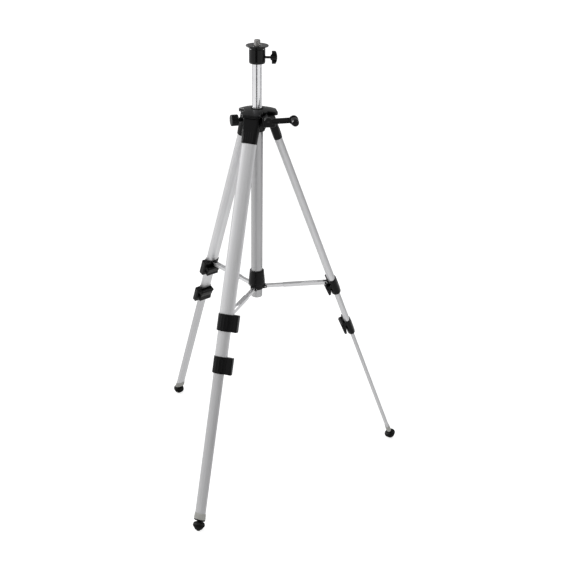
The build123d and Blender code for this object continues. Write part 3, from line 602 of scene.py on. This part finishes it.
def build_hub():
    """Hub body, cap, crank and knobs with moulded edges."""
    show("hub_casting", softened("hub_body", Matrix(), 0.9 * MM, 5), black_plastic, "hub_body")
    show("hub_cover", softened("hub_cap", Matrix(), 0.8 * MM, 8), black_plastic, "hub_cap")
    crank = shaft_frame("crank_turn")
    arm_low, arm_high = local_box("crank_arm", crank)
    out = 1 if arm_high.x > -arm_low.x else -1

    def groove(point, normal):
        """Shallow groove along the arm's outer face."""
        reach = point.x * out
        along = ramp(reach, *GROOVE_SPAN, 3 * MM)
        across = ramp(point.y - GROOVE_RISE * reach, -GROOVE_HALF_WIDTH, GROOVE_HALF_WIDTH, 1.6 * MM)
        return normal * (-along * across * max(0.0, normal.z) * GROOVE_DEPTH)

    shape = softened("crank_arm", crank, 0.6 * MM, 4, groove)
    show("crank_lever", shape, black_plastic, "crank_arm", crank)
    grip = shaft_frame("grip_spin")
    low, high = local_box("crank_grip", grip)
    radius = (high.x - low.x) / 2
    outline = [
        (0, low.z), (radius * 0.9, low.z), (radius, low.z + 4 * MM), (radius * 0.94, (low.z + high.z) / 2),
        (radius * 0.9, high.z - 6 * MM), (radius * 0.7, high.z - 0.8 * MM), (0, high.z),
    ]
    show("crank_handle", lathe(rounded(outline, 3 * MM), 80), grip_plastic, "crank_grip", grip)
    lock = shaft_frame("column_lock_turn")
    shape = softened("lock_knob", lock, 0.55 * MM, 4)
    show("lock_knob_moulding", shape, black_plastic, "lock_knob", lock)
    clamp = shaft_frame("head_clamp_turn")
    low, high = local_box("head_knob", clamp)
    long_way = "x" if high.x - low.x > high.y - low.y else "y"
    half = (getattr(high, long_way) - getattr(low, long_way)) / 2

    def wings(point, normal):
        """Outer face crowned, inner face swept back from the lobes."""
        reach = min(1.0, abs(getattr(point, long_way)) / half)
        share = (point.z - low.z) / (high.z - low.z)
        return Vector((0, 0, -WING_SWEEP * reach ** 2 * share + WING_SPREAD * reach * (1 - share)))

    shape = softened("head_knob", clamp, 0.45 * MM, 14, wings)
    show("head_knob_moulding", shape, gloss_black, "head_knob", clamp)


def build_column():
    """Polished column tube, slotted along the rack."""
    low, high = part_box("column_tube")
    radius = (high.x - low.x) / 2
    rack_low, rack_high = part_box("column_rack")
    rack = (rack_low + rack_high) / 2
    facing = math.atan2(rack.y, rack.x)
    half_slot = math.asin(RACK_HALF_SLOT / radius)
    data = bpy.data.meshes.new("column")
    shape = bmesh.new()
    segments = 160
    spans = [(low.z, rack_low.z, False), (rack_low.z, rack_high.z, True), (rack_high.z, high.z, False)]
    for bottom, top, slotted in spans:
        gap = half_slot if slotted else 0
        count = segments + 1 if slotted else segments
        loops = []
        inner = radius - COLUMN_WALL
        for reach, height in ((radius, bottom), (radius, top), (inner, top), (inner, bottom)):
            loop = []
            for i in range(count):
                turn = facing + gap + (2 * math.pi - 2 * gap) * i / segments
                loop.append(shape.verts.new((reach * math.cos(turn), reach * math.sin(turn), height)))
            loops.append(loop)
        for first, second in zip(loops, loops[1:] + loops[:1]):
            for i in range(segments):
                k = (i + 1) % count
                shape.faces.new([first[i], first[k], second[k], second[i]])
        if slotted:
            for i in (0, segments):
                shape.faces.new([loop[i] for loop in loops])
    bmesh.ops.recalc_face_normals(shape, faces=shape.faces)
    shape.to_mesh(data)
    shape.free()
    piece = show("column_chromed", data, chrome, "column_tube")
    edges = piece.modifiers.new("edges", "EDGE_SPLIT")
    edges.split_angle = math.radians(35)


def stud_thread(radius, bottom, top):
    """Screw thread standing up from the plate, with a chamfered end."""
    data = bpy.data.meshes.new("thread")
    shape = bmesh.new()
    turns = 72
    steps = int((top - bottom) / STUD_PITCH * 10)
    rings = []
    for j in range(steps + 1):
        height = bottom + (top - bottom) * j / steps
        ring = []
        for i in range(turns):
            phase = (height / STUD_PITCH - i / turns) % 1.0
            cut = STUD_DEPTH * (1 - abs(2 * phase - 1) * 1.25)
            reach = radius - min(STUD_DEPTH, max(0.0, cut))
            reach = min(reach, radius - STUD_CHAMFER + (top - height) * 1.2)
            turn = 2 * math.pi * i / turns
            ring.append(shape.verts.new((reach * math.cos(turn), reach * math.sin(turn), height)))
        rings.append(ring)
    for lower, upper in zip(rings, rings[1:]):
        for i in range(turns):
            k = (i + 1) % turns
            shape.faces.new([lower[i], lower[k], upper[k], upper[i]])
    shape.faces.new(rings[-1])
    shape.faces.new(list(reversed(rings[0])))
    shape.to_mesh(data)
    shape.free()
    return data


def build_head():
    """Instrument plate, threaded stud and the cup below them."""
    low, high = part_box("instrument_plate")
    rim = (high.x - low.x) / 2
    plate = [
        (PLATE_BORE, high.z - RECESS_DEPTH), (RECESS_RADIUS, high.z - RECESS_DEPTH),
        (RECESS_RADIUS + 0.2 * MM, high.z), (rim, high.z), (rim, low.z), (PLATE_BORE, low.z),
    ]
    show("instrument_disc", lathe(rounded(plate, 1.1 * MM)), gloss_black, "instrument_plate")
    stud_low, stud_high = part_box("mount_stud")
    radius = (stud_high.x - stud_low.x) / 2
    thread = stud_thread(radius, high.z - RECESS_DEPTH, stud_high.z)
    show("stud_thread", thread, steel, "mount_stud")
    low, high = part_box("head_cup")
    radius = (high.x - low.x) / 2
    column_low, column_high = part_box("column_tube")
    bore = (column_high.x - column_low.x) / 2 + SOCKET_GAP
    top = high.z - 0.05 * MM
    cup = [
        (0, top), (radius * 0.97, top), (radius * 0.97, high.z - 5 * MM),
        (radius, high.z - 6 * MM), (radius, low.z + 5 * MM), (radius * 0.96, low.z),
        (bore, low.z), (bore, low.z + SOCKET_DEPTH), (0, low.z + SOCKET_DEPTH),
    ]
    show("head_socket", lathe(rounded(cup, 1.2 * MM)), gloss_black, "head_cup")


def build_spreader():
    """Collar and braces."""
    collar = softened("spreader_collar", Matrix(), 0.6 * MM, 4)
    show("collar_moulding", collar, black_plastic, "spreader_collar")
    for side in SIDES:
        place = shaft_frame(f"{side}_brace_hinge")
        for part in ("brace", "brace_tongue"):
            shape = softened(f"{side}_{part}", place, 0.4 * MM, 2)
            show(f"{side}_{part}_pressing", shape, brace_metal, f"{side}_{part}", place)


for node in ("guide_tube", "guide_tube_end"):
    paint(node, guide_painted_shade_metal)
for node in ("column_bush", "drive_pinion", "brake_shoe", "column_end_plug"):
    paint(node, nylon)
for node in ("brace_pins", "column_rack"):
    paint(node, steel)
for node in ("leg_pivot_pins", "crank_shaft", "lock_screw", "head_clamp_screw"):
    paint(node, black_oxide)
build_mouldings()
build_leg_tubes()
build_feet()
build_hub()
build_column()
build_head()
build_spreader()


# ---------------------------------------------------------------- studio


def staged(name, data, material):
    """A studio object, which is no part of the tripod."""
    thing = bpy.data.objects.new(name, data)
    bpy.context.scene.collection.objects.link(thing)
    data.materials.append(material)
    return thing


def build_floor():
    """Round pale paper floor, lifted to white where the camera sees it directly."""
    data = bpy.data.meshes.new("floor")
    shape = bmesh.new()
    bmesh.ops.create_circle(shape, cap_ends=True, segments=96, radius=FLOOR_RADIUS)
    shape.to_mesh(data)
    shape.free()
    paper = Nodes("floor_paper", (0.88, 0.88, 0.88), 0, 0.85)
    paper.shader.inputs["Specular IOR Level"].default_value = 0.1
    paper.shader.inputs["Emission Color"].default_value = (1, 1, 1, 1)
    seen = paper.add("ShaderNodeLightPath")
    mirrored = paper.add("ShaderNodeMath", operation="MULTIPLY")
    mirrored.inputs[1].default_value = FLOOR_IN_MIRRORS
    direct = paper.add("ShaderNodeMath", operation="MULTIPLY_ADD")
    direct.inputs[1].default_value = FLOOR_LIFT
    paper.link(seen, "Is Glossy Ray", mirrored, 0)
    paper.link(seen, "Is Camera Ray", direct, 0)
    paper.link(mirrored, "Value", direct, 2)
    paper.link(direct, "Value", paper.shader, "Emission Strength")
    paper.bump([(paper.noise(paper.coordinates(), 30), 0.02)], 0.0005)
    floor = staged("floor", data, paper.material)
    floor.location = (0, 0, FLOOR_HEIGHT)


def reflector(name, azimuths, heights, brightness):
    """Curved grey card round the tripod that only mirror-like surfaces pick up."""
    steps = 40
    rows = []
    for i in range(steps + 1):
        turn = math.radians(azimuths[0] + (azimuths[1] - azimuths[0]) * i / steps)
        for height in heights:
            rows.append((CARD_RADIUS * math.sin(turn), -CARD_RADIUS * math.cos(turn), FLOOR_HEIGHT + height))
    faces = [(2 * i, 2 * i + 1, 2 * i + 3, 2 * i + 2) for i in range(steps)]
    data = bpy.data.meshes.new(name)
    data.from_pydata(rows, [], faces)
    card = Nodes(name, (0, 0, 0), 0, 1)
    card.shader.inputs["Specular IOR Level"].default_value = 0
    card.shader.inputs["Emission Color"].default_value = (1, 1, 1, 1)
    card.shader.inputs["Emission Strength"].default_value = brightness
    thing = staged(name, data, card.material)
    thing.visible_camera = False
    thing.visible_diffuse = False
    thing.visible_shadow = False
    thing.visible_transmission = False


def strip_light(name, azimuth, height, distance, size, power, receivers=None):
    """Tall softbox standing on the floor, aimed at the middle of the tripod."""
    light = bpy.data.lights.new(name, "AREA")
    light.shape = "RECTANGLE"
    light.size, light.size_y = size
    light.energy = power
    lamp = bpy.data.objects.new(name, light)
    turn = math.radians(azimuth)
    lamp.location = (distance * math.sin(turn), -distance * math.cos(turn), FLOOR_HEIGHT + height)
    aim = Vector((0, 0, FLOOR_HEIGHT / 2)) - lamp.location
    lamp.rotation_euler = aim.to_track_quat("-Z", "Y").to_euler()
    bpy.context.scene.collection.objects.link(lamp)
    if receivers is not None:
        lamp.light_linking.receiver_collection = receivers


def black_mouldings():
    """The glossy black pieces, which have two lights of their own."""
    group = bpy.data.collections.new("black_mouldings")
    for piece in list(bpy.context.scene.collection.objects):
        if piece.type == "MESH" and piece.data.materials and piece.data.materials[0] in BLACKS:
            group.objects.link(piece)
    return group


def build_world():
    """Pale surroundings, brighter on the window side, and white where the camera sees them directly."""
    world = bpy.data.worlds.new("studio")
    world.use_nodes = True
    tree = world.node_tree
    backdrop = tree.nodes["Background"]
    backdrop.inputs["Color"].default_value = (1, 1, 1, 1)
    aim = tree.nodes.new("ShaderNodeTexCoord")
    toward = tree.nodes.new("ShaderNodeVectorMath")
    toward.operation = "DOT_PRODUCT"
    turn = math.radians(WORLD_BRIGHT_SIDE)
    toward.inputs[1].default_value = (math.sin(turn), -math.cos(turn), 0.25)
    level = tree.nodes.new("ShaderNodeMapRange")
    level.interpolation_type = "SMOOTHSTEP"
    level.inputs["From Min"].default_value = -0.6
    level.inputs["From Max"].default_value = 0.9
    level.inputs["To Min"].default_value = WORLD_RANGE[0]
    level.inputs["To Max"].default_value = WORLD_RANGE[1]
    tree.links.new(aim.outputs["Generated"], toward.inputs[0])
    tree.links.new(toward.outputs["Value"], level.inputs["Value"])
    seen = tree.nodes.new("ShaderNodeLightPath")
    lift = tree.nodes.new("ShaderNodeMath")
    lift.operation = "MAXIMUM"
    tree.links.new(level.outputs["Result"], lift.inputs[0])
    tree.links.new(seen.outputs["Is Camera Ray"], lift.inputs[1])
    tree.links.new(lift.outputs["Value"], backdrop.inputs["Strength"])
    bpy.context.scene.world = world


def build_camera():
    """Camera at the viewing angle, with no shift."""
    azimuth, pitch = math.radians(CAMERA_AZIMUTH), math.radians(CAMERA_PITCH)
    data = bpy.data.cameras.new("camera")
    data.lens = CAMERA_LENS
    data.sensor_width = 36
    data.clip_end = 60
    camera = bpy.data.objects.new("camera", data)
    outward = Vector((math.sin(azimuth), -math.cos(azimuth), 0))
    towards = Matrix.Rotation(math.radians(-CAMERA_YAW), 3, "Z") @ -outward
    aim = towards * math.cos(pitch) - Vector((0, 0, math.sin(pitch)))
    place = outward * CAMERA_DISTANCE + Vector((0, 0, CAMERA_HEIGHT))
    turn = aim.to_track_quat("-Z", "Y").to_matrix() @ Matrix.Rotation(math.radians(CAMERA_ROLL), 3, "Z")
    camera.matrix_world = Matrix.Translation(place) @ turn.to_4x4()
    bpy.context.scene.collection.objects.link(camera)
    bpy.context.scene.camera = camera


build_floor()
build_world()
reflector("card_behind_camera", (-5, 26), (0, 1.3), 0.1)
reflector("card_right", (98, 124), (0, 1.8), 0.3)
reflector("card_behind_tripod", (150, 262), (0, 1.8), 0.4)
strip_light("key", -72, 1.9, 3.0, (0.7, 2.4), 12)
strip_light("fill", 95, 1.6, 3.2, (0.5, 2.4), 6)
mouldings = black_mouldings()
strip_light("moulding_key", -100, 2.0, 2.8, (0.9, 2.2), 160, mouldings)
strip_light("moulding_rim", 125, 1.9, 2.8, (0.4, 2.2), 60, mouldings)
build_camera()
bpy.context.scene.view_settings.view_transform = "Standard"
